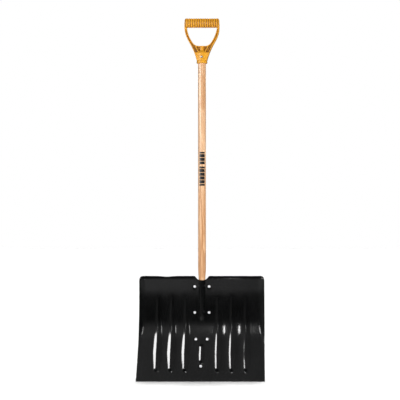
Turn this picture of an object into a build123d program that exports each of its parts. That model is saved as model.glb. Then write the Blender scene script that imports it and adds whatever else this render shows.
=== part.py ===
from build123d import *

import os
from math import asin, cos, degrees, radians, sin, tan

# Snow shovel: pressed steel blade, riveted socket strap, turned ash handle and moulded D-grip.
# Millimetres. The hollow front of the blade faces -Y and +Z is up. The origin is the middle of the
# flat ground edge of the blade, which the shovel stands on. "Behind" is a distance measured square
# to the sheet, from its front face towards its back.

# Blade sheet, seen from the side: a straight foot, a hollow, a nearly upright top and a turned lip
SHEET = 1.2
FOOT_LEAN, FOOT_HEIGHT = 24.0, 130.0
HOLLOW_RADIUS = 320.0
UPPER_LEAN, UPPER_RADIUS = 8.0, 690.0
LIP_RADIUS, LIP_TURN, LIP_FLAT = 5.0, 46.0, 16.0

# Blade outline, seen from the front
BLADE_HEIGHT = 366.0
BLADE_HALF_FOOT, BLADE_HALF_TOP = 228.5, 225.7
CORNER_RADIUS = 16.0
NOTCH_HALF_TOP, NOTCH_HALF_FLOOR, NOTCH_FLOOR = 26.0, 13.8, 352.5
NOTCH_ROUND = 3.0

# Curled sides: a curl starts at this half width, and runs out towards the ground edge
CURL_RADIUS, CURL_START = 24.0, 207.0
CURL_FULL_HEIGHT, CURL_FADE_SLOPE, CURL_BEND = 195.0, 0.154, 260.0

# Ribs and bead, each the hull of a low and a high circle: (height, radius)
RIB_SPACINGS = (58.0, 109.0, 160.0)
RIB_LOW, RIB_HIGH, RIB_RISE = (52.0, 14.0), (284.0, 6.0), 3.6
BEAD_LOW, BEAD_HIGH, BEAD_RISE = (68.0, 9.0), (116.0, 8.0), 3.0
RIM_ROUND = 2.6

# Handle, with its tapered end in the socket
HANDLE_Y = 84.0
HANDLE_RADIUS, HANDLE_LENGTH = 14.3, 965.0
SHOULDER_TOP, SHOULDER_BOTTOM, SHOULDER_RADIUS = 392.0, 352.0, 12.0
TIP_HEIGHT, TIP_RADIUS, TIP_ROUND = 208.0, 7.0, 5.0
HANDLE_TOP = TIP_HEIGHT + HANDLE_LENGTH
HANDLE_TOP_CHAMFER = 1.5

# Socket strap behind the blade
STRAP = 2.0
STRAP_TOP, STRAP_HALF_TOP = 347.0, 38.0
STRAP_WAIST_TOP, STRAP_WAIST_BOTTOM, STRAP_HALF_WAIST = 212.0, 130.0, 32.0
STRAP_TAIL_TOP, STRAP_TAIL_BOTTOM, STRAP_HALF_TAIL = 64.0, 37.0, 13.0
STRAP_CORNER = 10.0

# Rivets, in pairs by row: (name, half spacing, height), and one at the strap's tail
RIVET_ROWS = (("upper", 26.0, 328.0), ("middle", 26.0, 233.0), ("lower", 20.5, 139.5))
TAIL_RIVET_HEIGHT = 50.0
RIVET_SHANK = 2.6
RIVET_HEAD, RIVET_HEAD_RISE = 4.8, 2.4
RIVET_CLINCH, RIVET_CLINCH_RISE = 4.2, 1.8
RIVET_DIMPLE, RIVET_DIMPLE_DEPTH, RIVET_DIMPLE_TAPER = 1.2, 0.8, 20.0
RIVET_SEAT = 0.05

# Screws: one into the handle through the grip's collar, one from behind through the strap
SCREW_SHANK, SCREW_HEAD, SCREW_HEAD_RISE = 2.0, 4.0, 2.4
SCREW_HEAD_ROUND = 1.7
SCREW_SLOT_WIDTH, SCREW_SLOT_DEPTH, SCREW_SLOT_TURN = 1.0, 1.1, 35.0
SCREW_POINT, SCREW_POINT_TAPER = 3.0, 1.6
SCREW_SPOT, SCREW_SPOT_REACH = 4.6, 12.0
GRIP_SCREW_HEIGHT, GRIP_SCREW_SEAT, GRIP_SCREW_LENGTH = 1161.0, 17.9, 26.0
SOCKET_SCREW_HEIGHT, SOCKET_SCREW_SEAT, SOCKET_SCREW_LENGTH = 300.0, 11.2, 16.0

# D-grip
GRIP_BOTTOM = 1139.0
COLLAR_RADIUS, COLLAR_NECK_RADIUS, COLLAR_RIM, COLLAR_TOP = 19.5, 18.6, 7.0, 1176.0
COLLAR_ROUND, COLLAR_STEP, COLLAR_SHOULDER = 1.5, 1.0, 10.0
ARM_FOOT_HEIGHT, ARM_FOOT_HALF = 1150.0, 19.0
FLARE_LEAN, FLARE_RADIUS, ARM_LEAN, ARM_STRAIGHT, SHOULDER_ARC_RADIUS = 14.0, 239.0, 29.0, 18.8, 98.1
OPENING_BOTTOM, SILL_HALF = 1201.5, 11.3
OPENING_CORNER_RADIUS, OPENING_CORNER_TURN = 26.0, 54.0
OPENING_SIDE_RADIUS, OPENING_SIDE_TURN = 126.6, 28.0
BAR_HEIGHT, BAR_RADIUS, BAR_HALF, BAR_ROUND = 1286.0, 17.0, 62.5, 6.0
ARM_HALF_DEPTH, ARM_ROUND = 13.0, 2.0
GROOVE_COUNT, GROOVE_PITCH, GROOVE_WIDTH, GROOVE_DEPTH = 13, 8.3, 3.2, 1.5
WEB_HALF, FLANGE = 4.0, 2.8
POCKET_BOTTOM, POCKET_TOP, POCKET_REACH = 1178.0, 1262.0, 30.0
POST_RADIUS = 10.5
BRACE_LOW, BRACE_HIGH, BRACE_WIDTH = (8.0, 1170.0), (25.0, 1206.0), 3.0

# How far working solids run past the finished shapes, and how closely edges are told apart
REACH = 400.0
FRONT_END, LOW_END, HIGH_END = -80.0, -20.0, 420.0
OVERRUN = 10.0
CLOSE = 0.2

FOOT_FRONT_Y = -SHEET / cos(radians(FOOT_LEAN)) / 2
UPRIGHT = Plane.XZ.offset(-HANDLE_Y)
HANDLE_AXIS = Axis((0, HANDLE_Y, 0), (0, 0, 1))


def lean_direction(degrees_from_upright):
    """Direction that leans outwards or back from straight up by this angle."""
    return Vector(sin(radians(degrees_from_upright)), cos(radians(degrees_from_upright)))


def side_line(behind):
    """Draws the sheet's side view, this far behind its front face, and returns its two ends."""
    up, back = lean_direction(FOOT_LEAN), lean_direction(FOOT_LEAN + 90)
    ground = Vector(FOOT_FRONT_Y, 0) + back * behind
    foot = Line(ground - up * OVERRUN, ground + up * (FOOT_HEIGHT / up.Y))
    hollow = JernArc(foot @ 1, foot % 1, HOLLOW_RADIUS + behind, FOOT_LEAN)
    upper = JernArc(hollow @ 1, hollow % 1, UPPER_RADIUS + behind, UPPER_LEAN)
    lip = JernArc(upper @ 1, upper % 1, LIP_RADIUS - behind, -LIP_TURN)
    end = Line(lip @ 1, lip @ 1 + (lip % 1) * LIP_FLAT)
    return foot @ 0, end @ 1


def layer(near, far):
    """The layer between two distances behind the front face, past both sides of the blade."""
    with BuildPart() as made:
        with BuildSketch(Plane.YZ):
            with BuildLine():
                near_low, near_high = side_line(near)
                far_low, far_high = side_line(far)
                Line(near_low, far_low)
                Line(near_high, far_high)
            make_face()
        extrude(amount=REACH, both=True)
    return made.part


def scoop_space(behind):
    """The space that the blade holds, its back wall this far behind the front face."""
    with BuildPart() as made:
        with BuildSketch(Plane.YZ):
            with BuildLine():
                low, high = side_line(behind)
                Polyline(high, (high.X, HIGH_END), (FRONT_END, HIGH_END), (FRONT_END, low.Y), low)
            make_face()
        extrude(amount=REACH, both=True)
        wall = CURL_START + CURL_RADIUS + behind
        foot_wall = wall + CURL_FADE_SLOPE * (CURL_FULL_HEIGHT - LOW_END)
        with BuildSketch(Plane.XZ) as walls:
            with BuildLine():
                Polyline(
                    (0, LOW_END),
                    (foot_wall, LOW_END),
                    (wall, CURL_FULL_HEIGHT),
                    (wall, HIGH_END),
                    (0, HIGH_END),
                )
                mirror(about=Plane.YZ)
            make_face()
            bends = walls.vertices().filter_by(lambda v: abs(v.Y - CURL_FULL_HEIGHT) < CLOSE)
            fillet(bends, CURL_BEND)
        extrude(amount=REACH, both=True, mode=Mode.INTERSECT)
        rising = made.edges().filter_by(lambda e: abs((e % 0.5).Z) > 0.3)
        corners = rising.filter_by(lambda e: FRONT_END + CLOSE < (e @ 0.5).Y and (e @ 0.5).Z < high.Y)
        fillet(corners, CURL_RADIUS + behind)
    return made.part


def sheet_at(height):
    """Y of the sheet's front face at this height, and its lean there in degrees."""
    lean = radians(FOOT_LEAN)
    foot_y = FOOT_FRONT_Y + FOOT_HEIGHT * tan(lean)
    upright_height = FOOT_HEIGHT + HOLLOW_RADIUS * sin(lean)
    upright_y = foot_y + HOLLOW_RADIUS * (1 - cos(lean))
    if height <= FOOT_HEIGHT:
        return FOOT_FRONT_Y + height * tan(lean), FOOT_LEAN
    radius = HOLLOW_RADIUS if height < upright_height else UPPER_RADIUS
    here = asin((upright_height - height) / radius)
    return upright_y - radius * (1 - cos(here)), degrees(here)


def ahead(edge):
    """How far the middle of an edge stands in front of the sheet."""
    middle = edge @ 0.5
    y, lean = sheet_at(middle.Z)
    return (y - middle.Y) * cos(radians(lean))


def pressed(x, low, high, rise, behind, depth):
    """One rib or bead at a surface this far behind the front face: it stands up by rise there."""
    with BuildPart() as made:
        add(layer(behind - rise, behind + depth))
        with BuildSketch(Plane.XZ):
            for height, radius in (low, high):
                with Locations((x, height)):
                    Circle(radius - behind)
            make_hull()
        extrude(amount=REACH, both=True, mode=Mode.INTERSECT)
        if RIM_ROUND > behind:
            crest = made.edges().filter_by(lambda e: ahead(e) > rise - behind - CLOSE)
            rim = crest.filter_by(lambda e: abs((e % 0.5).X) < 0.9 or not low[0] < (e @ 0.5).Z < high[0])
            fillet(rim, RIM_ROUND - behind)
    return made.part


def handle_end(grow):
    """The handle's tapered end, this much larger all round, up to above the blade."""
    with BuildPart() as made:
        with BuildSketch(UPRIGHT) as half:
            with BuildLine():
                Polyline(
                    (0, SHOULDER_TOP),
                    (0, TIP_HEIGHT - grow),
                    (TIP_RADIUS + grow, TIP_HEIGHT - grow),
                    (SHOULDER_RADIUS + grow, SHOULDER_BOTTOM),
                    (HANDLE_RADIUS + grow, SHOULDER_TOP),
                    close=True,
                )
            make_face()
            fillet(half.vertices().sort_by(Axis.Y)[:2].sort_by(Axis.X)[-1], TIP_ROUND + grow)
        revolve(axis=HANDLE_AXIS)
    return made.part


def section_plane(x, height):
    """Plane square across the sheet at this place: its Y runs out of the sheet's front."""
    y, lean = sheet_at(height)
    normal = Vector(0, -cos(radians(lean)), sin(radians(lean)))
    return Plane(origin=(x, y, height), x_dir=(1, 0, 0), z_dir=Vector(1, 0, 0).cross(normal))


def rivet(x, height):
    """A rivet through blade and strap: a low dome in front with a dimple, a clinched end behind."""
    section = section_plane(x, height)
    back = -(SHEET + STRAP)
    with BuildPart() as made:
        with BuildSketch(section):
            with BuildLine():
                crown = RIVET_SEAT + RIVET_HEAD_RISE
                Polyline(
                    (RIVET_HEAD, RIVET_SEAT),
                    (RIVET_SHANK, RIVET_SEAT),
                    (RIVET_SHANK, back),
                    (RIVET_CLINCH, back),
                )
                clinch = TangentArc((0, back - RIVET_CLINCH_RISE), (RIVET_CLINCH, back), tangent=(1, 0))
                dome = TangentArc((0, crown), (RIVET_HEAD, RIVET_SEAT), tangent=(1, 0))
                Line(clinch @ 0, dome @ 0)
            make_face()
        revolve(axis=Axis(section.origin, section.y_dir))
        with BuildSketch(Plane(origin=section.origin, x_dir=(1, 0, 0), z_dir=section.y_dir).offset(crown)):
            Circle(RIVET_DIMPLE)
        extrude(amount=-RIVET_DIMPLE_DEPTH, taper=RIVET_DIMPLE_TAPER, mode=Mode.SUBTRACT)
    return made.part


def screw_hole(seat, length):
    """What a screw's hole takes away: its shank, and a spot face for its head on this plane."""
    with BuildPart() as made:
        with BuildSketch(seat):
            Circle(SCREW_SPOT)
        extrude(amount=SCREW_SPOT_REACH)
        with BuildSketch(seat):
            Circle(SCREW_SHANK)
        extrude(amount=-length)
    return made.part


def screw(seat, length):
    """A slotted pan-head wood screw whose head rests on this plane."""
    with BuildPart() as made:
        with BuildSketch(seat):
            Circle(SCREW_HEAD)
        extrude(amount=SCREW_HEAD_RISE)
        fillet(made.faces().sort_by(Axis(seat.origin, seat.z_dir))[-1].edges(), SCREW_HEAD_ROUND)
        with BuildSketch(seat):
            Circle(SCREW_SHANK)
        extrude(amount=-length)
        point = made.faces().sort_by(Axis(seat.origin, seat.z_dir))[0]
        chamfer(point.edges(), SCREW_POINT, SCREW_POINT_TAPER)
        with BuildSketch(seat.offset(SCREW_HEAD_RISE)):
            Rectangle(SCREW_HEAD * 2, SCREW_SLOT_WIDTH, rotation=SCREW_SLOT_TURN)
        extrude(amount=-SCREW_SLOT_DEPTH, mode=Mode.SUBTRACT)
    return made.part


GRIP_SCREW_PLANE = Plane(
    origin=(0, HANDLE_Y - GRIP_SCREW_SEAT, GRIP_SCREW_HEIGHT), x_dir=(1, 0, 0), z_dir=(0, -1, 0)
)
SOCKET_SCREW_PLANE = Plane(
    origin=(0, HANDLE_Y + SOCKET_SCREW_SEAT, SOCKET_SCREW_HEIGHT), x_dir=(-1, 0, 0), z_dir=(0, 1, 0)
)
RIVET_PLACES = {
    f"rivet_{name}_{side}": (sign * half_spacing, height)
    for name, half_spacing, height in RIVET_ROWS
    for side, sign in (("left", -1), ("right", 1))
}
RIVET_PLACES["rivet_tail"] = (0, TAIL_RIVET_HEIGHT)


def rivet_hole(x, height):
    """What a rivet's shank takes away from blade and strap."""
    across = section_plane(x, height)
    with BuildPart() as made:
        with BuildSketch(Plane(origin=across.origin, x_dir=(1, 0, 0), z_dir=across.y_dir)):
            Circle(RIVET_SHANK)
        extrude(amount=OVERRUN, both=True)
    return made.part


def socket_half(grow, in_front):
    """The socket's wall around the handle's end, on one side of the blade's back face."""
    with BuildPart() as made:
        add(handle_end(grow))
        add(scoop_space(SHEET), mode=Mode.INTERSECT if in_front else Mode.SUBTRACT)
        split(bisect_by=Plane.XY.offset(NOTCH_FLOOR if in_front else STRAP_TOP), keep=Keep.BOTTOM)
    return made.part


# Blade
with BuildPart() as blade:
    add(scoop_space(SHEET))
    add(scoop_space(0), mode=Mode.SUBTRACT)
    with BuildSketch(Plane.XZ) as outline:
        with BuildLine():
            Polyline(
                (0, 0),
                (BLADE_HALF_FOOT, 0),
                (BLADE_HALF_TOP, BLADE_HEIGHT),
                (NOTCH_HALF_TOP, BLADE_HEIGHT),
                (NOTCH_HALF_FLOOR, NOTCH_FLOOR),
                (0, NOTCH_FLOOR),
            )
            mirror(about=Plane.YZ)
        make_face()
        fillet(outline.vertices().group_by(Axis.Y)[-1].sort_by(Axis.X)[::3], CORNER_RADIUS)
        at_notch = outline.vertices().filter_by(lambda v: v.Y > NOTCH_FLOOR - CLOSE)
        fillet(at_notch.filter_by(lambda v: CLOSE < abs(v.X) < NOTCH_HALF_TOP + CLOSE), NOTCH_ROUND)
    extrude(amount=REACH, both=True, mode=Mode.INTERSECT)
    add(socket_half(SHEET, in_front=True))
    for x in (*RIB_SPACINGS, *(-x for x in RIB_SPACINGS)):
        add(pressed(x, RIB_LOW, RIB_HIGH, RIB_RISE, 0, SHEET / 2))
        add(pressed(x, RIB_LOW, RIB_HIGH, RIB_RISE, SHEET, SHEET / 2), mode=Mode.SUBTRACT)
    add(pressed(0, BEAD_LOW, BEAD_HIGH, BEAD_RISE, 0, SHEET / 2))
    add(pressed(0, BEAD_LOW, BEAD_HIGH, BEAD_RISE, SHEET, SHEET / 2), mode=Mode.SUBTRACT)
    add(handle_end(0), mode=Mode.SUBTRACT)
    for place in RIVET_PLACES.values():
        add(rivet_hole(*place), mode=Mode.SUBTRACT)
blade.part.label = "blade"

# Socket strap: a plate that follows the blade's back, with the rear half of the socket
with BuildPart() as socket_strap:
    add(layer(SHEET, SHEET + STRAP))
    with BuildSketch(Plane.XZ) as outline:
        with BuildLine():
            Polyline(
                (0, STRAP_TOP),
                (STRAP_HALF_TOP, STRAP_TOP),
                (STRAP_HALF_TOP, STRAP_WAIST_TOP),
                (STRAP_HALF_WAIST, STRAP_WAIST_BOTTOM),
                (STRAP_HALF_TAIL, STRAP_TAIL_TOP),
                (STRAP_HALF_TAIL, STRAP_TAIL_BOTTOM),
                (0, STRAP_TAIL_BOTTOM),
            )
            mirror(about=Plane.YZ)
        make_face()
        fillet(outline.vertices(), STRAP_CORNER)
    extrude(amount=REACH, both=True, mode=Mode.INTERSECT)
    add(socket_half(STRAP, in_front=False))
    add(pressed(0, BEAD_LOW, BEAD_HIGH, BEAD_RISE, SHEET, STRAP / 2))
    add(pressed(0, BEAD_LOW, BEAD_HIGH, BEAD_RISE, SHEET + STRAP, STRAP / 2), mode=Mode.SUBTRACT)
    add(handle_end(0), mode=Mode.SUBTRACT)
    add(screw_hole(SOCKET_SCREW_PLANE, SOCKET_SCREW_LENGTH), mode=Mode.SUBTRACT)
    for place in RIVET_PLACES.values():
        add(rivet_hole(*place), mode=Mode.SUBTRACT)
socket_strap.part.label = "socket_strap"

# Handle
with BuildPart() as handle:
    add(handle_end(0))
    with BuildSketch(Plane.XY.offset(SHOULDER_TOP)):
        with Locations((0, HANDLE_Y)):
            Circle(HANDLE_RADIUS)
    extrude(amount=HANDLE_TOP - SHOULDER_TOP)
    chamfer(handle.edges().sort_by(Axis.Z)[-1], HANDLE_TOP_CHAMFER)
    add(screw_hole(SOCKET_SCREW_PLANE, SOCKET_SCREW_LENGTH), mode=Mode.SUBTRACT)
    add(screw_hole(GRIP_SCREW_PLANE, GRIP_SCREW_LENGTH), mode=Mode.SUBTRACT)
handle.part.label = "handle"

# Grip: arms and body in one D-shaped outline, with a crossbar, a collar and lightening pockets
with BuildPart() as grip:
    with BuildSketch(UPRIGHT) as d_shape:
        with BuildLine():
            base = Line((0, ARM_FOOT_HEIGHT), (ARM_FOOT_HALF, ARM_FOOT_HEIGHT))
            flare = JernArc(base @ 1, lean_direction(FLARE_LEAN), FLARE_RADIUS, FLARE_LEAN - ARM_LEAN)
            straight = Line(flare @ 1, flare @ 1 + (flare % 1) * ARM_STRAIGHT)
            shoulder = JernArc(straight @ 1, straight % 1, SHOULDER_ARC_RADIUS, ARM_LEAN)
            Polyline(shoulder @ 1, ((shoulder @ 1).X, BAR_HEIGHT), (0, BAR_HEIGHT))
            mirror(about=Plane.YZ)
        make_face()
        with BuildLine():
            sill = Line((0, OPENING_BOTTOM), (SILL_HALF, OPENING_BOTTOM))
            corner = JernArc(sill @ 1, (1, 0), OPENING_CORNER_RADIUS, OPENING_CORNER_TURN)
            side = JernArc(corner @ 1, corner % 1, OPENING_SIDE_RADIUS, OPENING_SIDE_TURN)
            Polyline(side @ 1, ((side @ 1).X, BAR_HEIGHT + 1), (0, BAR_HEIGHT + 1))
            mirror(about=Plane.YZ)
        make_face(mode=Mode.SUBTRACT)
    extrude(amount=ARM_HALF_DEPTH, both=True)
    fillet(grip.edges().filter_by(GeomType.CIRCLE), ARM_ROUND)
    with BuildSketch(UPRIGHT.offset(WEB_HALF), UPRIGHT.offset(-WEB_HALF - POCKET_REACH)):
        add(d_shape.sketch_local)
        offset(amount=-FLANGE, mode=Mode.REPLACE)
        with Locations((0, (POCKET_BOTTOM + POCKET_TOP) / 2)):
            Rectangle(BAR_HALF * 2, POCKET_TOP - POCKET_BOTTOM, mode=Mode.INTERSECT)
        with BuildLine():
            brace = Line(BRACE_LOW, BRACE_HIGH)
            mirror(brace, about=Plane.YZ)
        trace(line_width=BRACE_WIDTH, mode=Mode.SUBTRACT)
    extrude(amount=POCKET_REACH, mode=Mode.SUBTRACT)
    with BuildSketch(UPRIGHT):
        with BuildLine():
            Polyline(
                (0, GRIP_BOTTOM),
                (COLLAR_RADIUS, GRIP_BOTTOM),
                (COLLAR_RADIUS, GRIP_BOTTOM + COLLAR_RIM),
                (COLLAR_NECK_RADIUS, GRIP_BOTTOM + COLLAR_RIM + COLLAR_STEP),
                (COLLAR_NECK_RADIUS, COLLAR_TOP),
                (POST_RADIUS, COLLAR_TOP + COLLAR_SHOULDER),
                (POST_RADIUS, OPENING_BOTTOM - FLANGE / 2),
                (0, OPENING_BOTTOM - FLANGE / 2),
                close=True,
            )
        make_face()
    revolve(axis=HANDLE_AXIS)
    fillet(grip.edges().sort_by(Axis.Z)[0], COLLAR_ROUND)
    with BuildSketch(UPRIGHT) as bar_half:
        with Locations((0, BAR_HEIGHT + BAR_RADIUS / 2)):
            Rectangle(BAR_HALF * 2, BAR_RADIUS)
        fillet(bar_half.vertices().group_by(Axis.Y)[-1], BAR_ROUND)
        with Locations((0, BAR_HEIGHT + BAR_RADIUS)):
            with GridLocations(GROOVE_PITCH, 0, GROOVE_COUNT, 1):
                Rectangle(GROOVE_WIDTH, GROOVE_DEPTH * 2, mode=Mode.SUBTRACT)
    revolve(axis=Axis((0, HANDLE_Y, BAR_HEIGHT), (1, 0, 0)))
    with BuildSketch(Plane.XY.offset(GRIP_BOTTOM)):
        with Locations((0, HANDLE_Y)):
            Circle(HANDLE_RADIUS)
    extrude(amount=HANDLE_TOP - GRIP_BOTTOM, mode=Mode.SUBTRACT)
    add(screw_hole(GRIP_SCREW_PLANE, GRIP_SCREW_SEAT), mode=Mode.SUBTRACT)
grip.part.label = "grip"

# Screws
with BuildPart() as grip_screw:
    add(screw(GRIP_SCREW_PLANE, GRIP_SCREW_LENGTH))
grip_screw.part.label = "grip_screw"

with BuildPart() as socket_screw:
    add(screw(SOCKET_SCREW_PLANE, SOCKET_SCREW_LENGTH))
socket_screw.part.label = "socket_screw"

os.makedirs("parts", exist_ok=True)
export_step(blade.part, "parts/blade.step")
export_step(socket_strap.part, "parts/socket_strap.step")
export_step(handle.part, "parts/handle.step")
export_step(grip.part, "parts/grip.step")
export_step(grip_screw.part, "parts/grip_screw.step")
export_step(socket_screw.part, "parts/socket_screw.step")

# Rivets
for name, place in RIVET_PLACES.items():
    with BuildPart() as one_rivet:
        add(rivet(*place))
    one_rivet.part.label = name
    export_step(one_rivet.part, f"parts/{name}.step")
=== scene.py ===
import math

import bpy
import numpy as np
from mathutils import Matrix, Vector


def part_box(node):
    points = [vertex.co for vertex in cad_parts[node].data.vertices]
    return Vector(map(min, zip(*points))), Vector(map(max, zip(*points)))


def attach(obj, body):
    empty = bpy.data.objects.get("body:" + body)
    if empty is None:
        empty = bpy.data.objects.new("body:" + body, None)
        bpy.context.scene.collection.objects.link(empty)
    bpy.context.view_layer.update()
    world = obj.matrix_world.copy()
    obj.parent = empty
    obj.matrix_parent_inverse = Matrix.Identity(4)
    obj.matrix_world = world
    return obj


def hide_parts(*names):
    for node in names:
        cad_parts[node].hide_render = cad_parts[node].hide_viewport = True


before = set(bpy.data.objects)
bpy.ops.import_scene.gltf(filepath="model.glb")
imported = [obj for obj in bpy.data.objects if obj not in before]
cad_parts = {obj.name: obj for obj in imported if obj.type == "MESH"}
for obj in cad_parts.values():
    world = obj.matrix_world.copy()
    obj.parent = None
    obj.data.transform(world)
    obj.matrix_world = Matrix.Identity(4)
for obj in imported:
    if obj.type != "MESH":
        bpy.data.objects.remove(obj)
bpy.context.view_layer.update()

# Snow shovel. The blade's hollow front faces -Y, +Z is up and the origin is the middle of the ground edge.
# Meshes are worked out in millimetres. Materials, lights and the camera are in metres.

MM = 0.001


def cad_box(node):
    """Lowest and highest corners of a CAD node, in millimetres."""
    low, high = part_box(node)
    return np.array(low) / MM, np.array(high) / MM


# ---------------------------------------------------------------- blade form
# The sheet, its side line, its curled sides and the socket are the CAD part's. The lip folds more
# tightly, the stiffeners have a narrower crest and hollow flanks, and the top edge has a dent.
SHEET, STRAP = 1.2, 2.0
FOOT_LEAN, FOOT_HEIGHT = math.radians(24), 130.0
HOLLOW_RADIUS = 320.0
UPPER_LEAN, UPPER_RADIUS = math.radians(8), 690.0
LIP_RADIUS, LIP_TURN, LIP_FLAT = 2.0, math.radians(46), 18.0
FOOT_FRONT_Y = -SHEET / math.cos(FOOT_LEAN) / 2
SIDE_SPANS = (
    (FOOT_HEIGHT / math.cos(FOOT_LEAN), 0),
    (HOLLOW_RADIUS * FOOT_LEAN, -1 / HOLLOW_RADIUS),
    (UPPER_RADIUS * UPPER_LEAN, -1 / UPPER_RADIUS),
    (LIP_RADIUS * LIP_TURN, 1 / LIP_RADIUS),
    (LIP_FLAT, 0),
)
SIDE_LENGTH = sum(length for length, bend in SIDE_SPANS)

blade_high = cad_box("blade")[1]
handle_low, handle_high = cad_box("handle")
BLADE_HEIGHT, HALF_FOOT, HALF_TOP = blade_high[2], blade_high[0], 225.7
CORNER_RADIUS = 16.0
TOP_DENT, TOP_DENT_X, TOP_DENT_WIDTH = 2.2, -127.0, 26.0
NOTCH_HALF_TOP, NOTCH_HALF_FLOOR, NOTCH_FLOOR, NOTCH_SOFTENING = 26.0, 13.8, 352.5, 2.6
CURL_RADIUS, CURL_START, CURL_FULL_HEIGHT, CURL_FADE = 24.0, 207.0, 195.0, 0.154
CURL_EASE, CURL_LIMIT = 20.0, 0.95

# A stiffener is a row of stations of (height, radius, rise). CREST rounds its crest, as a share of radius.
RIBS = (58.0, 109.0, 160.0)
RIB = ((41.0, 13.0, 3.8), (92.0, 20.5, 4.45), (286.0, 8.0, 1.9))
BEAD = ((68.0, 12.0, 3.1), (84.0, 13.0, 3.4), (114.0, 11.0, 2.9))
CREST = 0.2
PANEL_RIPPLE, PANEL_PITCH = 0.32, 51.0
RIPPLE_FOOT, RIPPLE_TOP = (25.0, 65.0), (305.0, 245.0)
RIPPLE_PAST_RIB, RIPPLE_EASE = 6.0, 16.0

HANDLE_Y = (handle_low[1] + handle_high[1]) / 2
HANDLE_RADIUS = (handle_high[0] - handle_low[0]) / 2
TIP_HEIGHT, TIP_RADIUS, NOSE = handle_low[2], 7.0, 8.0
SHOULDER_LOW, SHOULDER_HIGH, SHOULDER_RADIUS, SHOULDER_EASE = 352.0, 392.0, 12.0, 4.0
SOCKET_SLOPE, SOCKET_END_GAP, SOCKET_VALLEY = 3.0, 1.0, 5.0
STRAP_OUTLINE = ((37.0, 13.0), (64.0, 13.0), (130.0, 32.0), (212.0, 38.0), (347.0, 38.0))
STRAP_CORNER = 10.0
SHEET_SHARP_ANGLE = 50


def fade(value, start, end):
    """Share from 0 at start to 1 at end, and level past both."""
    return np.clip((value - start) / (end - start), 0, 1)


def side_line(s):
    """Y, Z and lean of the sheet's front face at these lengths up its side view."""
    s = np.asarray(s, float)
    y, z, lean = np.full_like(s, FOOT_FRONT_Y), np.zeros_like(s), np.full_like(s, FOOT_LEAN)
    for length, bend in SIDE_SPANS:
        run = np.clip(s, 0, length)
        s = s - length
        turned = lean + bend * run
        if bend:
            y = y + (np.cos(lean) - np.cos(turned)) / bend
            z = z + (np.sin(turned) - np.sin(lean)) / bend
        else:
            y, z = y + run * np.sin(lean), z + run * np.cos(lean)
        lean = turned
    return y, z, lean


TABLE_POINTS = 4000
TABLE_S = np.linspace(0, SIDE_LENGTH, TABLE_POINTS)
TABLE_Y, TABLE_Z, TABLE_LEAN = side_line(TABLE_S)


def length_at_height(z):
    """Length up the side line where it reaches this height."""
    return np.interp(z, TABLE_Z, TABLE_S)


def higher(a, b, soft):
    """The higher of two surfaces, with a soft valley where they meet."""
    share = np.clip(0.5 + 0.5 * (b - a) / soft, 0, 1)
    return a + (b - a) * share + soft * share * (1 - share)


def strip_rise(x, z, middle, stations):
    """Height of a pressed stiffener with a narrow crest and hollow flanks."""
    heights, radii, rises = zip(*stations)
    radius, rise = np.interp(z, heights, radii), np.interp(z, heights, rises)
    past_end = z - np.clip(z, heights[0], heights[-1])
    away = np.clip(np.hypot(x - middle, past_end) / radius, 0, 1)
    rounded = (np.sqrt(away ** 2 + CREST ** 2) - CREST) / (math.hypot(1, CREST) - CREST)
    return rise * (1 - rounded) ** 2


def handle_radius(z):
    """Radius of the handle at each height."""
    taper = np.interp(z, (TIP_HEIGHT, SHOULDER_LOW), (TIP_RADIUS, SHOULDER_RADIUS))
    t = fade(z, SHOULDER_LOW - SHOULDER_EASE, SHOULDER_HIGH + SHOULDER_EASE)
    return taper + (HANDLE_RADIUS - SHOULDER_RADIUS) * t * t * (3 - 2 * t)


def socket_rise(x, y, z, lean, wall, side):
    """How far the socket's wall stands off a face at this y: in front of it (side -1) or behind (1)."""
    end = TIP_HEIGHT - wall - SOCKET_END_GAP
    nose = fade(z, TIP_HEIGHT + NOSE, end)
    radius = (handle_radius(z) + wall) * np.sqrt(1 - nose * nose)
    reach = np.sqrt(np.clip(radius ** 2 - x ** 2, 0, None))
    reach = reach - SOCKET_SLOPE * (np.clip(np.abs(x) - radius, 0, None) + np.clip(end - z, 0, None))
    return ((HANDLE_Y - y) * side + reach) * np.cos(lean)


def pressed_relief(x, z):
    """Height of the ribs and the bead, and of the slight ripple that pressing leaves between the ribs."""
    rise = strip_rise(x, z, 0, BEAD)
    for middle in RIBS:
        rise = np.maximum(rise, strip_rise(np.abs(x), z, middle, RIB))
    inner, outer = RIBS[0] - RIPPLE_PAST_RIB, RIBS[-1] + RIPPLE_PAST_RIB
    zone = fade(z, *RIPPLE_FOOT) * fade(z, *RIPPLE_TOP)
    zone = zone * fade(np.abs(x), inner, inner + RIPPLE_EASE) * fade(np.abs(x), outer, outer - RIPPLE_EASE)
    return rise + PANEL_RIPPLE * np.cos(2 * math.pi * (np.abs(x) - RIBS[1]) / PANEL_PITCH) * zone


def curl_relief(x, z):
    """How far the curled sides stand forward."""
    below = CURL_FULL_HEIGHT - z
    start = CURL_START + CURL_FADE * 0.5 * (below + np.sqrt(below ** 2 + CURL_EASE ** 2))
    past = np.clip(np.abs(x) - start, 0, CURL_RADIUS * CURL_LIMIT)
    return CURL_RADIUS - np.sqrt(CURL_RADIUS ** 2 - past ** 2)


def lift(x, s, rise):
    """Points this far in front of the sheet's side line, at each x and length up it."""
    y, z, lean = side_line(s)
    return np.stack([x + 0 * y, y - rise * np.cos(lean), z + rise * np.sin(lean)], axis=-1)


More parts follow.
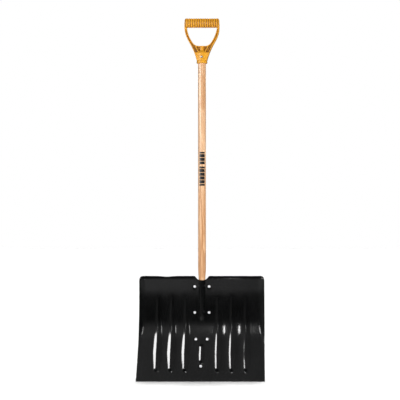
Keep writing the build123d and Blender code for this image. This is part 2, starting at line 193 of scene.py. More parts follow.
# ---------------------------------------------------------------- mesh helpers
def make_object(name, vertices, faces, material, sharp_angle=None):
    """Mesh object from millimetre points. Faces meeting at more than sharp_angle keep a crisp edge."""
    mesh = bpy.data.meshes.new(name)
    mesh.from_pydata((np.asarray(vertices) * MM).tolist(), [], [list(map(int, f)) for f in faces])
    mesh.validate()
    mesh.shade_smooth()
    if sharp_angle:
        mesh.set_sharp_from_angle(angle=math.radians(sharp_angle))
    mesh.materials.append(material)
    made = bpy.data.objects.new(name, mesh)
    bpy.context.collection.objects.link(made)
    return made


def shell_between(front, back, edge_bulge):
    """Closed shell between two grids of points, its edge rounded outwards by one row of middle points."""
    rows, columns = front.shape[:2]
    number = np.arange(rows * columns).reshape(rows, columns)
    quads = np.stack([number[:-1, :-1], number[:-1, 1:], number[1:, 1:], number[1:, :-1]], -1)
    quads = quads.reshape(-1, 4)
    shift = rows * columns
    ring = np.concatenate([number[0, :-1], number[:-1, -1], number[-1, :0:-1], number[:0:-1, 0]])
    inner = np.concatenate([number[1, :-1], number[:-1, -2], number[-2, :0:-1], number[:0:-1, 1]])
    flat_front, flat_back = front.reshape(-1, 3), back.reshape(-1, 3)
    outward = flat_front[ring] - flat_front[inner]
    outward /= np.linalg.norm(outward, axis=1, keepdims=True)
    middle = (flat_front[ring] + flat_back[ring]) / 2 + outward * edge_bulge
    middle_number = 2 * shift + np.arange(len(ring))
    after = np.roll(np.arange(len(ring)), -1)
    rim_front = np.stack([ring, middle_number, middle_number[after], ring[after]], -1)
    rim_back = np.stack([middle_number, ring + shift, ring[after] + shift, middle_number[after]], -1)
    vertices = np.concatenate([flat_front, flat_back, middle])
    faces = np.concatenate([quads, quads[:, ::-1] + shift, rim_front, rim_back])
    return vertices, faces


def lathe(profile, origin, axis, segments, name, material, sharp_angle=35):
    """Solid turned from (radius, height) points about an axis. Its first and last radius are 0."""
    origin, axis = np.array(origin, float), np.array(axis, float)
    axis /= np.linalg.norm(axis)
    side = np.cross(axis, (0.0, 0.0, 1.0) if abs(axis[2]) < 0.9 else (1.0, 0.0, 0.0))
    side /= np.linalg.norm(side)
    other = np.cross(axis, side)
    angle = np.linspace(0, 2 * math.pi, segments, endpoint=False)
    round_points = np.cos(angle)[:, None] * side + np.sin(angle)[:, None] * other
    profile = np.array(profile, float)
    body = profile[1:-1]
    vertices = [origin + axis * profile[0][1]]
    for radius, height in body:
        vertices.extend(origin + axis * height + round_points * radius)
    vertices.append(origin + axis * profile[-1][1])
    faces = []
    step = np.arange(segments)
    following = np.roll(step, -1)
    last = len(vertices) - 1
    for row in range(len(body) - 1):
        low, high = 1 + row * segments, 1 + (row + 1) * segments
        faces.extend(np.stack([low + step, low + following, high + following, high + step], -1))
    faces.extend([0, 1 + b, 1 + a] for a, b in zip(step, following))
    top = 1 + (len(body) - 1) * segments
    faces.extend([last, top + a, top + b] for a, b in zip(step, following))
    return make_object(name, vertices, faces, material, sharp_angle)


# ---------------------------------------------------------------- node materials
def new_material(name):
    material = bpy.data.materials.new(name)
    material.use_nodes = True
    nodes, links = material.node_tree.nodes, material.node_tree.links
    return material, nodes, links, nodes["Principled BSDF"]


def add_node(nodes, kind, settings=None, inputs=None):
    node = nodes.new(kind)
    for key, value in (settings or {}).items():
        setattr(node, key, value)
    for key, value in (inputs or {}).items():
        node.inputs[key].default_value = value
    return node


def object_space(nodes, links, scale=(1, 1, 1), location=(0, 0, 0)):
    """Vector output of the object's own coordinates, in metres, scaled."""
    coordinates = add_node(nodes, "ShaderNodeTexCoord")
    mapping = add_node(nodes, "ShaderNodeMapping", None, {"Scale": scale, "Location": location})
    links.new(coordinates.outputs["Object"], mapping.inputs["Vector"])
    return mapping.outputs["Vector"]


def noise(nodes, links, vector, scale, detail=2.0, roughness=0.5, distortion=0.0):
    made = add_node(nodes, "ShaderNodeTexNoise", None, {
        "Scale": scale, "Detail": detail, "Roughness": roughness, "Distortion": distortion,
    })
    links.new(vector, made.inputs["Vector"])
    return made.outputs["Fac"]


def ramp(nodes, links, value, stops):
    """Colour ramp with stops of (position, colour or grey level)."""
    made = add_node(nodes, "ShaderNodeValToRGB")
    elements = made.color_ramp.elements
    while len(elements) < len(stops):
        elements.new(0.5)
    for element, (position, colour) in zip(elements, stops):
        element.position = position
        element.color = (*colour, 1) if isinstance(colour, tuple) else (colour, colour, colour, 1)
    links.new(value, made.inputs["Fac"])
    return made.outputs["Color"]


def map_range(nodes, links, value, source, target):
    made = add_node(nodes, "ShaderNodeMapRange", None, {
        "From Min": source[0], "From Max": source[1], "To Min": target[0], "To Max": target[1],
    })
    links.new(value, made.inputs["Value"])
    return made.outputs["Result"]


def maths(nodes, links, operation, first, second=None):
    made = add_node(nodes, "ShaderNodeMath", {"operation": operation})
    for socket, value in zip(made.inputs, (first, second)):
        if isinstance(value, (int, float)):
            socket.default_value = value
        elif value is not None:
            links.new(value, socket)
    return made.outputs["Value"]


MIX_SHARE, MIX_FIRST, MIX_SECOND, MIX_RESULT = 0, 6, 7, 2


def mix_colour(nodes, links, share, first, second, mode="MIX"):
    """Colour mix. The node's sockets share their names, so they are picked by number."""
    made = add_node(nodes, "ShaderNodeMix", {"data_type": "RGBA", "blend_type": mode})
    for number, value in ((MIX_SHARE, share), (MIX_FIRST, first), (MIX_SECOND, second)):
        socket = made.inputs[number]
        if isinstance(value, tuple):
            socket.default_value = (*value, 1)
        elif isinstance(value, (int, float)):
            socket.default_value = value
        else:
            links.new(value, socket)
    return made.outputs[MIX_RESULT]


def axes_of(nodes, links, vector):
    """X, Y and Z outputs of a vector."""
    split = add_node(nodes, "ShaderNodeSeparateXYZ")
    links.new(vector, split.inputs["Vector"])
    return split.outputs["X"], split.outputs["Y"], split.outputs["Z"]


def bump(nodes, links, shader, heights):
    """Chains bumps of (height output, strength, distance in metres) into the shader's normal."""
    normal = None
    for height, strength, distance in heights:
        made = add_node(nodes, "ShaderNodeBump", None, {"Strength": strength, "Distance": distance})
        links.new(height, made.inputs["Height"])
        if normal:
            links.new(normal, made.inputs["Normal"])
        normal = made.outputs["Normal"]
    links.new(normal, shader.inputs["Normal"])


ENAMEL_DEEP, ENAMEL_HAZED = (0.0018, 0.0019, 0.0020), (0.0042, 0.0043, 0.0045)
ENAMEL_WORN, WORN_HEIGHT = (0.030, 0.028, 0.027), 0.012


def enamel_material(name):
    """Glossy black baked enamel on pressed steel: orange peel, slight haze and a thinned ground edge."""
    material, nodes, links, shader = new_material(name)
    vector = object_space(nodes, links)
    haze = noise(nodes, links, vector, 9.0, 4.0, 0.6)
    fine = noise(nodes, links, vector, 140.0, 3.0, 0.6)
    mottled = ramp(nodes, links, haze, [(0.3, ENAMEL_DEEP), (0.75, ENAMEL_HAZED)])
    _, _, z = axes_of(nodes, links, vector)
    edge = map_range(nodes, links, z, (0.0, WORN_HEIGHT), (1.0, 0.0))
    speckle = ramp(nodes, links, noise(nodes, links, vector, 420.0, 4.0, 0.7), [(0.56, 0.0), (0.68, 1.0)])
    worn = maths(nodes, links, "MULTIPLY", edge, speckle)
    colour = mix_colour(nodes, links, worn, mottled, ENAMEL_WORN)
    links.new(colour, shader.inputs["Base Color"])
    rough = map_range(nodes, links, haze, (0.3, 0.75), (0.07, 0.12))
    rough = maths(nodes, links, "ADD", rough, maths(nodes, links, "MULTIPLY", worn, 0.3))
    links.new(rough, shader.inputs["Roughness"])
    shader.inputs["Specular IOR Level"].default_value = 0.5
    peel = noise(nodes, links, vector, 260.0, 2.0, 0.5)
    waves = noise(nodes, links, vector, 14.0, 1.0, 0.4)
    bump(nodes, links, shader, [(waves, 0.35, 0.0009), (peel, 0.10, 0.0002), (fine, 0.05, 0.0002)])
    return material


WOOD_DULL, WOOD_BRIGHT = (0.80, 0.545, 0.335), (0.97, 0.735, 0.510)
WOOD_LATE, WOOD_PORE = (0.500, 0.250, 0.105), (0.40, 0.20, 0.085)
WOOD_BAND, WOOD_INK = (0.52, 0.27, 0.12), (0.012, 0.011, 0.011)
WOOD_TINT_LOW, WOOD_TINT_HIGH = (0.98, 0.84, 0.70), (1.06, 1.02, 0.98)
HEART = (0.043, -0.118, 0.0)
HEART_LEAN = (math.radians(1.6), math.radians(-1.1), 0)
GRAIN_WANDER = 0.012


def growth_rings(nodes, links, vector):
    """Growth rings round a heart that is outside the handle and leans a little, their lines wandering."""
    offset = add_node(nodes, "ShaderNodeVectorMath", {"operation": "SCALE"})
    scatter = add_node(nodes, "ShaderNodeTexNoise", None, {"Scale": 5.0, "Detail": 2.0})
    links.new(object_space(nodes, links, (1, 1, 0.22), (3, 1, 0)), scatter.inputs["Vector"])
    links.new(scatter.outputs["Color"], offset.inputs[0])
    offset.inputs["Scale"].default_value = GRAIN_WANDER
    bent = add_node(nodes, "ShaderNodeVectorMath", {"operation": "ADD"})
    links.new(vector, bent.inputs[0])
    links.new(offset.outputs["Vector"], bent.inputs[1])
    heart = add_node(nodes, "ShaderNodeVectorMath", {"operation": "ADD"})
    heart.inputs[1].default_value = HEART
    links.new(bent.outputs["Vector"], heart.inputs[0])
    leaned = add_node(nodes, "ShaderNodeMapping", None, {"Rotation": HEART_LEAN})
    links.new(heart.outputs["Vector"], leaned.inputs["Vector"])
    rings = add_node(nodes, "ShaderNodeTexWave", {
        "wave_type": "RINGS", "rings_direction": "Z", "wave_profile": "SAW",
    }, {"Scale": 40.0, "Distortion": 1.5, "Detail": 2.0, "Detail Scale": 0.6})
    links.new(leaned.outputs["Vector"], rings.inputs["Vector"])
    return rings.outputs["Fac"]


def wood_material(name):
    """Pale straight-grained ash under clear lacquer, with a plain printed mark of straight bars."""
    material, nodes, links, shader = new_material(name)
    vector = object_space(nodes, links)
    wander = noise(nodes, links, object_space(nodes, links, (1, 1, 0.16)), 9.0, 3.0, 0.55)
    rings = growth_rings(nodes, links, vector)
    late = ramp(nodes, links, rings, [(0.0, 0.0), (0.55, 0.18), (0.86, 0.9), (1.0, 0.35)])
    fibres = noise(nodes, links, object_space(nodes, links, (1, 1, 0.018)), 620.0, 5.0, 0.65)
    pores = ramp(nodes, links, fibres, [(0.40, 1.0), (0.56, 0.0)])
    pale = ramp(nodes, links, wander, [(0.25, WOOD_DULL), (0.75, WOOD_BRIGHT)])
    streaked = mix_colour(nodes, links, maths(nodes, links, "MULTIPLY", late, 0.95), pale, WOOD_LATE)
    streaked = mix_colour(nodes, links, maths(nodes, links, "MULTIPLY", pores, 0.40), streaked, WOOD_PORE)
    bands = noise(nodes, links, object_space(nodes, links, (1, 1, 0.045), (0.3, 0, 0)), 150.0, 2.0, 0.55, 0.5)
    bands = ramp(nodes, links, bands, [(0.41, 0.75), (0.54, 0.0)])
    streaked = mix_colour(nodes, links, bands, streaked, WOOD_BAND)
    x, y, z = axes_of(nodes, links, vector)
    height = map_range(nodes, links, z, (0.40, 1.10), (0, 1))
    tint = ramp(nodes, links, height, [(0.15, WOOD_TINT_LOW), (0.75, WOOD_TINT_HIGH)])
    streaked = mix_colour(nodes, links, 1.0, streaked, tint, "MULTIPLY")
    mark = printed_mark(nodes, links, x, y, z)
    ink = maths(nodes, links, "MULTIPLY", mark, map_range(nodes, links, fibres, (0.25, 0.5), (0.9, 1.0)))
    colour = mix_colour(nodes, links, ink, streaked, WOOD_INK)
    links.new(colour, shader.inputs["Base Color"])
    rough = map_range(nodes, links, fibres, (0.3, 0.7), (0.50, 0.36))
    links.new(rough, shader.inputs["Roughness"])
    shader.inputs["Coat Weight"].default_value = 0.25
    shader.inputs["Coat Roughness"].default_value = 0.22
    bump(nodes, links, shader, [(fibres, 0.18, 0.00025), (late, 0.10, 0.0002)])
    return material


MARK_LOW, MARK_HIGH, MARK_GAP_LOW, MARK_GAP_HIGH = 0.694, 0.817, 0.764, 0.772
MARK_LEFT, MARK_RIGHT, MARK_SOFTNESS = -0.0085, 0.0105, 0.0004
BAR_PITCH, BAR_START, BAR_END, BAR_SOFTNESS = 0.0135, 0.07, 0.93, 0.03


def printed_mark(nodes, links, x, y, z):
    """Mask of a plain mark on the handle's front: two blocks of straight bars."""
    def between(value, low, high, soft=MARK_SOFTNESS):
        rising = map_range(nodes, links, value, (low - soft, low + soft), (0, 1))
        falling = map_range(nodes, links, value, (high - soft, high + soft), (1, 0))
        return maths(nodes, links, "MULTIPLY", rising, falling)

    cycle = maths(nodes, links, "FRACT", maths(nodes, links, "MULTIPLY", z, 1 / BAR_PITCH))
    bars = between(cycle, BAR_START, BAR_END, BAR_SOFTNESS)
    field = maths(nodes, links, "MULTIPLY", between(z, MARK_LOW, MARK_HIGH), bars)
    gap = maths(nodes, links, "SUBTRACT", 1.0, between(z, MARK_GAP_LOW, MARK_GAP_HIGH))
    field = maths(nodes, links, "MULTIPLY", field, gap)
    field = maths(nodes, links, "MULTIPLY", field, between(x, MARK_LEFT, MARK_RIGHT))
    front = maths(nodes, links, "LESS_THAN", y, HANDLE_Y * MM)
    return maths(nodes, links, "MULTIPLY", field, front)


AMBER_DULL, AMBER_BRIGHT, AMBER_SHADE = (0.60, 0.262, 0.012), (0.74, 0.350, 0.020), (0.16, 0.050, 0.004)
GROOVE_PITCH, GROOVE_EDGES = 0.0083, (0.22, 0.40)
CROSSBAR_BOTTOM, CROSSBAR_FADE = 1.267, 0.002
RECESS_DEPTHS, RECESS_HEIGHTS = (0.0055, 0.0105), (1.198, 1.216)


def plastic_material(name):
    """Moulded amber polypropylene: fine spark texture, flow shading, and painted shade darkening the
    crossbar's grooves and the recesses.
    """
    material, nodes, links, shader = new_material(name)
    vector = object_space(nodes, links)
    flow = noise(nodes, links, object_space(nodes, links, (1, 1, 0.6)), 22.0, 3.0, 0.6, 0.8)
    grit = noise(nodes, links, vector, 1500.0, 2.0, 0.6)
    colour = ramp(nodes, links, flow, [(0.25, AMBER_DULL), (0.78, AMBER_BRIGHT)])
    x, y, z = axes_of(nodes, links, vector)
    # Painted shade: the crossbar's grooves and the grip's deeper recesses are darkened towards AMBER_SHADE,
    # standing in for the shade that falls in them.
    cycle = maths(nodes, links, "MULTIPLY", x, 1 / GROOVE_PITCH)
    cycle = maths(nodes, links, "FRACT", maths(nodes, links, "ADD", cycle, 100.0))
    from_crest = maths(nodes, links, "ABSOLUTE", maths(nodes, links, "SUBTRACT", cycle, 0.5))
    groove_shade = map_range(nodes, links, from_crest, GROOVE_EDGES, (0, 1))
    on_bar = map_range(nodes, links, z, (CROSSBAR_BOTTOM, CROSSBAR_BOTTOM + CROSSBAR_FADE), (0, 1))
    depth = maths(nodes, links, "ABSOLUTE", maths(nodes, links, "SUBTRACT", y, HANDLE_Y * MM))
    recess_shade = map_range(nodes, links, depth, RECESS_DEPTHS, (0.9, 0))
    recess_shade = maths(nodes, links, "MULTIPLY", recess_shade, map_range(nodes, links, z, RECESS_HEIGHTS, (1, 0.12)))
    shade = maths(nodes, links, "MAXIMUM", maths(nodes, links, "MULTIPLY", groove_shade, on_bar), recess_shade)
    colour = mix_colour(nodes, links, maths(nodes, links, "MULTIPLY", shade, 0.75), colour, AMBER_SHADE)
    links.new(colour, shader.inputs["Base Color"])
    links.new(map_range(nodes, links, flow, (0.3, 0.7), (0.38, 0.48)), shader.inputs["Roughness"])
    shader.inputs["Subsurface Weight"].default_value = 0.05
    shader.inputs["Specular IOR Level"].default_value = 0.38
    shader.inputs["Subsurface Radius"].default_value = (0.004, 0.002, 0.0008)
    shader.inputs["Subsurface Scale"].default_value = 1.0
    soft = noise(nodes, links, vector, 90.0, 2.0, 0.5)
    bump(nodes, links, shader, [(soft, 0.08, 0.0002), (grit, 0.10, 0.00004)])
    return material


ZINC_DULLING = 0.82


def zinc_material(name, brightness, metallic):
    """Bright zinc plate with faint tumbling marks."""
    material, nodes, links, shader = new_material(name)
    vector = object_space(nodes, links)
    cloud = noise(nodes, links, vector, 260.0, 4.0, 0.65)
    scratches = noise(nodes, links, object_space(nodes, links, (1, 1, 6)), 900.0, 3.0, 0.6)
    dark = brightness * ZINC_DULLING
    colour = ramp(nodes, links, cloud, [
        (0.3, (dark, dark, dark * 1.03)), (0.7, (brightness, brightness, brightness * 1.01)),
    ])
    links.new(colour, shader.inputs["Base Color"])
    shader.inputs["Metallic"].default_value = metallic
    links.new(map_range(nodes, links, cloud, (0.3, 0.7), (0.30, 0.42)), shader.inputs["Roughness"])
    bump(nodes, links, shader, [(scratches, 0.12, 0.00008), (cloud, 0.15, 0.0001)])
    return material


def floor_material(name):
    """Plain pale floor with a slight unevenness of tone."""
    material, nodes, links, shader = new_material(name)
    vector = object_space(nodes, links)
    tone = ramp(nodes, links, noise(nodes, links, vector, 1.5, 2.0), [(0.3, 0.915), (0.7, 0.93)])
    links.new(tone, shader.inputs["Base Color"])
    shader.inputs["Roughness"].default_value = 0.75
    return material


BLADE_ENAMEL = enamel_material("blade_enamel_look")
STRAP_ENAMEL = enamel_material("strap_enamel_look")
ASH = wood_material("handle_ash_look")
AMBER = plastic_material("grip_plastic_look")
ZINC = zinc_material("rivet_zinc_look", 0.97, 0.25)
SCREW_ZINC = zinc_material("screw_zinc_look", 0.62, 0.8)


# ---------------------------------------------------------------- blade
def spaced(first, last, step_at):
    """Increasing values from first to last, as far apart as step_at says at each."""
    values = [first]
    while values[-1] < last:
        values.append(values[-1] + step_at(values[-1]))
    values = np.array(values)
    return first + (values - first) * (last - first) / (values[-1] - first)


FINE_COLUMN, FINE_ROW, COARSE_STEP = 1.45, 1.2, 2.6
FINE_BESIDE_RIB, FINE_BESIDE_SOCKET, FINE_BELOW_TOP, FINE_ABOVE_FOOT = 18, 30, 27, 3
CORNER_POINTS, NOTCH_SAMPLES = 12, 9
BLADE_EDGE_BULGE, STRAP_EDGE_BULGE = 0.35, 0.5


def blade_columns():
    """Shares of the half width, closer together over the ribs, the socket and the corners."""
    def step(x):
        near_rib = min(abs(abs(x) - middle) for middle in RIBS) < FINE_BESIDE_RIB
        return FINE_COLUMN if near_rib or abs(x) < FINE_BESIDE_SOCKET else COARSE_STEP

    flat = HALF_TOP - CORNER_RADIUS
    corner = flat + CORNER_RADIUS * np.sin(np.linspace(0, math.pi / 2, CORNER_POINTS))[1:]
    return np.concatenate([-corner[::-1], spaced(-flat, flat, step), corner]) / HALF_TOP


def blade_top(x):
    """Height of the blade's outline at each x: level, with a softened notch, round corners and a dent."""
    notch = np.zeros_like(x)
    offsets = np.linspace(-NOTCH_SOFTENING, NOTCH_SOFTENING, NOTCH_SAMPLES)
    for offset in offsets:
        notch += np.interp(
            np.abs(x + offset), (NOTCH_HALF_FLOOR, NOTCH_HALF_TOP), (NOTCH_FLOOR - BLADE_HEIGHT, 0)
        )
    past = np.clip(np.abs(x) - (HALF_TOP - CORNER_RADIUS), 0, CORNER_RADIUS)
    corner = np.sqrt(CORNER_RADIUS ** 2 - past ** 2) - CORNER_RADIUS
    dent = TOP_DENT * np.exp(-((x - TOP_DENT_X) / TOP_DENT_WIDTH) ** 2)
    return BLADE_HEIGHT + notch / len(offsets) + corner - dent


def rivet_seat(node):
    """Where a rivet's axis meets the sheet's front face, and that face's normal."""
    low, high = cad_box(node)
    centre = (low + high) / 2
    near = int(np.argmin((TABLE_Y - centre[1]) ** 2 + (TABLE_Z - centre[2]) ** 2))
    lean = TABLE_LEAN[near]
    return (centre[0], TABLE_Y[near], TABLE_Z[near]), (0, -math.cos(lean), math.sin(lean))


SEATS = {node: rivet_seat(node) for node in sorted(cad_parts) if node.startswith("rivet_")}
SEAT_SINK, SEAT_RADIUS = 0.5, 8.0


def rivet_sink(x, z):
    """The sheet is drawn in a little round each rivet."""
    sunk = np.zeros_like(x + z)
    for (seat_x, _, seat_z), _ in SEATS.values():
        sunk += SEAT_SINK * np.exp(-((x - seat_x) ** 2 + (z - seat_z) ** 2) / SEAT_RADIUS ** 2)
    return sunk


def grid_normals(points):
    """Unit normals of a grid of points, all towards the front."""
    normal = np.cross(np.gradient(points, axis=1), np.gradient(points, axis=0))
    normal /= np.linalg.norm(normal, axis=2, keepdims=True)
    return normal * np.where(normal[..., 1:2] > 0, -1, 1)


def finish_piece(made, node):
    """The mesh takes the place of its CAD node's."""
    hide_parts(node)
    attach(made, "root")


def make_blade():
    """Pressed sheet: its side line swept across, with ribs, bead, curled sides and socket raised on it."""
    def step(s):
        return FINE_ROW if s > SIDE_LENGTH - FINE_BELOW_TOP or s < FINE_ABOVE_FOOT else COARSE_STEP

    share = blade_columns()
    rows = spaced(0.0, SIDE_LENGTH, step)
    top_length = length_at_height(blade_top(share * HALF_TOP))
    s = (rows / SIDE_LENGTH)[:, None] * top_length[None, :]
    y, z, lean = side_line(s)
    x = share[None, :] * (HALF_FOOT + (HALF_TOP - HALF_FOOT) * z / BLADE_HEIGHT)
    socket = socket_rise(x, y, z, lean, SHEET, -1)
    rise = higher(pressed_relief(x, z), socket, SOCKET_VALLEY)
    front = lift(x, s, rise + curl_relief(x, z) - rivet_sink(x, z))
    back = front - grid_normals(front) * SHEET
    vertices, faces = shell_between(front, back, BLADE_EDGE_BULGE)
    vertices[:, 2] = np.clip(vertices[:, 2], 0, BLADE_HEIGHT)
    made = make_object("blade_pressing", vertices, faces, BLADE_ENAMEL, SHEET_SHARP_ANGLE)
    finish_piece(made, "blade")


STRAP_CORNER_ROW, STRAP_ROW, STRAP_COLUMNS = 0.9, 2.2, 81


def make_strap():
    """Plate against the blade's back, with the rear half of the socket standing off it."""
    heights, halves = zip(*STRAP_OUTLINE)
    low, high = length_at_height(heights[0]), length_at_height(heights[-1])

    def step(s):
        return STRAP_CORNER_ROW if min(s - low, high - s) < STRAP_CORNER else STRAP_ROW

    rows = spaced(low, high, step)
    share = np.linspace(-1, 1, STRAP_COLUMNS)
    end_gap = np.clip(STRAP_CORNER - np.minimum(rows - low, high - rows), 0, STRAP_CORNER)
    half = np.interp(side_line(rows)[1], heights, halves)
    half = half - STRAP_CORNER + np.sqrt(STRAP_CORNER ** 2 - end_gap ** 2)
    s = rows[:, None] + 0 * share[None, :]
    x = share[None, :] * half[:, None]
    y, z, lean = side_line(s)
    behind = SHEET + STRAP
    socket = socket_rise(x, y + behind * np.cos(lean), z, lean, STRAP, 1)
    rise = higher(-strip_rise(x, z, 0, BEAD), socket, SOCKET_VALLEY)
    back = lift(x, s, -behind - rise)
    front = back + grid_normals(back) * STRAP
    vertices, faces = shell_between(front, back, STRAP_EDGE_BULGE)
    made = make_object("socket_strap_pressing", vertices, faces, STRAP_ENAMEL, SHEET_SHARP_ANGLE)
    finish_piece(made, "socket_strap")


# ---------------------------------------------------------------- handle, rivets and screws
QUARTER_POINTS = 9
SHAFT_STEP, SHAFT_SEGMENTS = 5.0, 96
SHAFT_TIP_GAP, SHAFT_TOP_GAP = 4, 3


def make_handle():
    """Round tip, tapered end, straight shaft, and a top end with a small rounded rim."""
    turns = np.linspace(0, math.pi / 2, QUARTER_POINTS)[1:]
    tip = [(0, TIP_HEIGHT)]
    tip += [(TIP_RADIUS * math.sin(a), TIP_HEIGHT + NOSE * (1 - math.cos(a))) for a in turns]
    top = handle_high[2]
    levels = np.arange(TIP_HEIGHT + NOSE + SHAFT_TIP_GAP, top - SHAFT_TOP_GAP, SHAFT_STEP)
    shaft = [(float(handle_radius(z)), z) for z in levels]
    crown = [(HANDLE_RADIUS, top - 2), (HANDLE_RADIUS - 0.4, top - 1), (HANDLE_RADIUS - 1.5, top), (0, top)]
    made = lathe(tip + shaft + crown, (0, HANDLE_Y, 0), (0, 0, 1), SHAFT_SEGMENTS, "handle_shaft", ASH)
    finish_piece(made, "handle")


HEAD_RADIUS, HEAD_BASE, HEAD_RISE, DIMPLE_ANGLE = 4.8, 0.35, 2.05, 0.42
SHANK_RADIUS, CLINCH_RADIUS, CLINCH_RISE = 2.6, 4.2, 1.8
RIVET_SEGMENTS, RIVET_SHARP_ANGLE = 48, 60


def make_rivet(node, seat, normal):
    """Domed head with a small dimple in front, shank, and a clinched end behind."""
    dimple = [(0, 1.85), (0.7, 1.9), (1.15, 2.25), (1.5, 2.4)]
    dome_angles = np.linspace(DIMPLE_ANGLE, math.pi / 2, QUARTER_POINTS)
    dome = [(HEAD_RADIUS * math.sin(a), HEAD_BASE + HEAD_RISE * math.cos(a)) for a in dome_angles]
    rim = [(HEAD_RADIUS, 0.15), (HEAD_RADIUS - 0.2, 0.05), (SHANK_RADIUS, 0.05)]
    back = -(SHEET + STRAP)
    clinch_angles = np.linspace(math.pi / 2, 0, QUARTER_POINTS)[:-1]
    clinch = [(CLINCH_RADIUS * math.sin(a), back - CLINCH_RISE * math.cos(a)) for a in clinch_angles]
    profile = dimple + dome + rim + [(SHANK_RADIUS, back)] + clinch + [(0, back - CLINCH_RISE)]
    made = lathe(profile[::-1], seat, normal, RIVET_SEGMENTS, node + "_turned", ZINC, RIVET_SHARP_ANGLE)
    finish_piece(made, node)


# ---------------------------------------------------------------- grip
GRIP_VOXEL, GRIP_SOFTENING = 0.85, 3


def make_grip():
    """The grip's solid, remeshed evenly and softened, so that its moulded edges are round."""
    moulding = bpy.data.objects.new("grip_moulding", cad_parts["grip"].data.copy())
    bpy.context.collection.objects.link(moulding)
    remesh = moulding.modifiers.new("even", "REMESH")
    remesh.mode, remesh.voxel_size, remesh.adaptivity = "VOXEL", GRIP_VOXEL * MM, 0.0
    soften = moulding.modifiers.new("soften", "CORRECTIVE_SMOOTH")
    soften.use_only_smooth, soften.factor, soften.iterations = True, 0.5, GRIP_SOFTENING
    evaluated = moulding.evaluated_get(bpy.context.evaluated_depsgraph_get())
    mesh = bpy.data.meshes.new_from_object(evaluated)
    moulding.modifiers.clear()
    moulding.data = mesh
    mesh.shade_smooth()
    mesh.materials.clear()
    mesh.materials.append(AMBER)
    finish_piece(moulding, "grip")


make_blade()
make_strap()
make_handle()
make_grip()
for node, (seat, normal) in SEATS.items():
    make_rivet(node, seat, normal)
for node in ("grip_screw", "socket_screw"):
    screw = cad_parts[node]
    screw.data.materials.clear()
    screw.data.materials.append(SCREW_ZINC)


# ---------------------------------------------------------------- studio
CAMERA_X, CAMERA_DISTANCE, CAMERA_HEIGHT, CAMERA_LENS = 0.2093, 2.993, 0.6425, 74.0
SENSOR = 36.0
HANDLE_IN_FRAME = 0.005
FLOOR_HALF, FLOOR_HEIGHT = 8000, -0.5


def look(thing, place, target):
    thing.location = place
    thing.rotation_euler = (Vector(target) - Vector(place)).to_track_quat("-Z", "Y").to_euler()


def make_camera():
    """Level camera, square to the blade and off to its right. Its shift brings the handle near the middle."""
    camera = bpy.data.objects.new("photo_camera", bpy.data.cameras.new("photo_camera"))
    bpy.context.collection.objects.link(camera)
    camera.data.lens, camera.data.sensor_width = CAMERA_LENS, SENSOR
    camera.location = (CAMERA_X, HANDLE_Y * MM - CAMERA_DISTANCE, CAMERA_HEIGHT)
    camera.rotation_euler = (math.pi / 2, 0, 0)
    camera.data.shift_x = -CAMERA_X / CAMERA_DISTANCE * CAMERA_LENS / SENSOR - HANDLE_IN_FRAME
    bpy.context.scene.camera = camera


def make_softbox(name, place, target, size, radiance, seen_by, shape="RECTANGLE"):
    """Softbox seen as diffuse light or as a glossy reflection only. A glossy one lights nothing else."""
    light = bpy.data.lights.new(name, "AREA")
    light.shape, light.size, light.size_y = shape, *size
    light.energy = radiance * math.pi * size[0] * size[1]
    box = bpy.data.objects.new(name, light)
    bpy.context.collection.objects.link(box)
    look(box, place, target)
    box.visible_diffuse = seen_by != "glossy"
    box.visible_glossy = seen_by != "diffuse"


def make_overhead():
    """Wide overhead light, a little behind the shovel, which whitens the floor."""
    light = bpy.data.lights.new("overhead", "SUN")
    light.energy, light.angle = 3.0, math.radians(18)
    overhead = bpy.data.objects.new("overhead", light)
    bpy.context.collection.objects.link(overhead)
    look(overhead, (0, 0.32, 1), (0, 0, 0))
    overhead.visible_glossy = False


def make_floor():
    corners = [(-1, -1), (1, -1), (1, 1), (-1, 1)]
    points = [(x * FLOOR_HALF, y * FLOOR_HALF, FLOOR_HEIGHT) for x, y in corners]
    floor = make_object("studio_floor", points, [(0, 1, 2, 3)], floor_material("studio_floor_look"))
    floor.visible_glossy = False


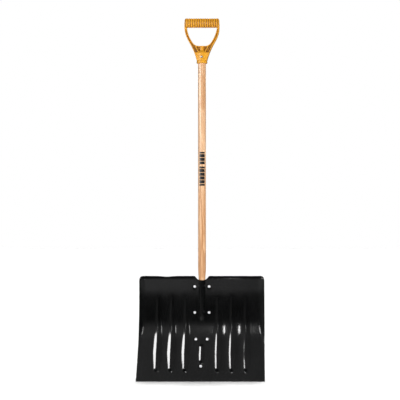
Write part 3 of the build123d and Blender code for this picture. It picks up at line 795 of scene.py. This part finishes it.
# What glossy surfaces see of the studio, from straight down (0) to straight up (1).
GLOSSY_STUDIO = [
    (0.0, 0.42), (0.367, 0.44), (0.378, 0.25), (0.40, 0.05), (0.46, 0.01), (0.60, 0.01), (0.68, 0.30),
    (0.74, 0.36), (0.79, 0.28), (0.81, 0.30), (0.86, 0.15), (0.94, 0.0),
]
DIFFUSE_STUDIO = (0.29, 0.29, 0.29)


def make_world():
    """White surroundings. Glossy surfaces see them darker at eye level, as beside black studio cards."""
    world = bpy.data.worlds.new("studio")
    world.use_nodes = True
    bpy.context.scene.world = world
    nodes, links = world.node_tree.nodes, world.node_tree.links
    background = nodes["Background"]
    direction = add_node(nodes, "ShaderNodeTexCoord")
    x, _, z = axes_of(nodes, links, direction.outputs["Generated"])
    studio = ramp(nodes, links, map_range(nodes, links, z, (-1, 1), (0, 1)), GLOSSY_STUDIO)
    across = map_range(nodes, links, x, (0.02, -0.15), (0.80, 1.25))
    studio = mix_colour(nodes, links, 1.0, studio, across, "MULTIPLY")
    side = map_range(nodes, links, x, (-0.15, -0.75), (0.0, 0.16))
    studio = mix_colour(nodes, links, 1.0, studio, side, "LIGHTEN")
    path = add_node(nodes, "ShaderNodeLightPath")
    dull = mix_colour(nodes, links, path.outputs["Is Diffuse Ray"], (1.0, 1.0, 1.0), DIFFUSE_STUDIO)
    shade = mix_colour(nodes, links, path.outputs["Is Glossy Ray"], dull, studio)
    links.new(shade, background.inputs["Color"])
    background.inputs["Strength"].default_value = 1.0


make_camera()
make_floor()
make_world()
make_overhead()
make_softbox("key_softbox", (-0.5, -2.8, 1.9), (0, 0.08, 0.9), (1.8, 1.3), 4, "diffuse")
make_softbox("fill_softbox", (1.6, -2.6, 1.7), (0, 0.08, 0.9), (1.2, 1.2), 8, "diffuse")
make_softbox("rib_softbox", (-2.09, -1.2, 1.40), (-2.09, 0, 1.40), (1.66, 0.80), 22, "glossy")
make_softbox("spot_softbox", (0.02, -2.6, 1.29), (0, 0.06, 0.18), (0.11, 0.48), 26, "glossy", "ELLIPSE")

view_settings = bpy.context.scene.view_settings
view_settings.view_transform = "Standard"
view_settings.look = "None"
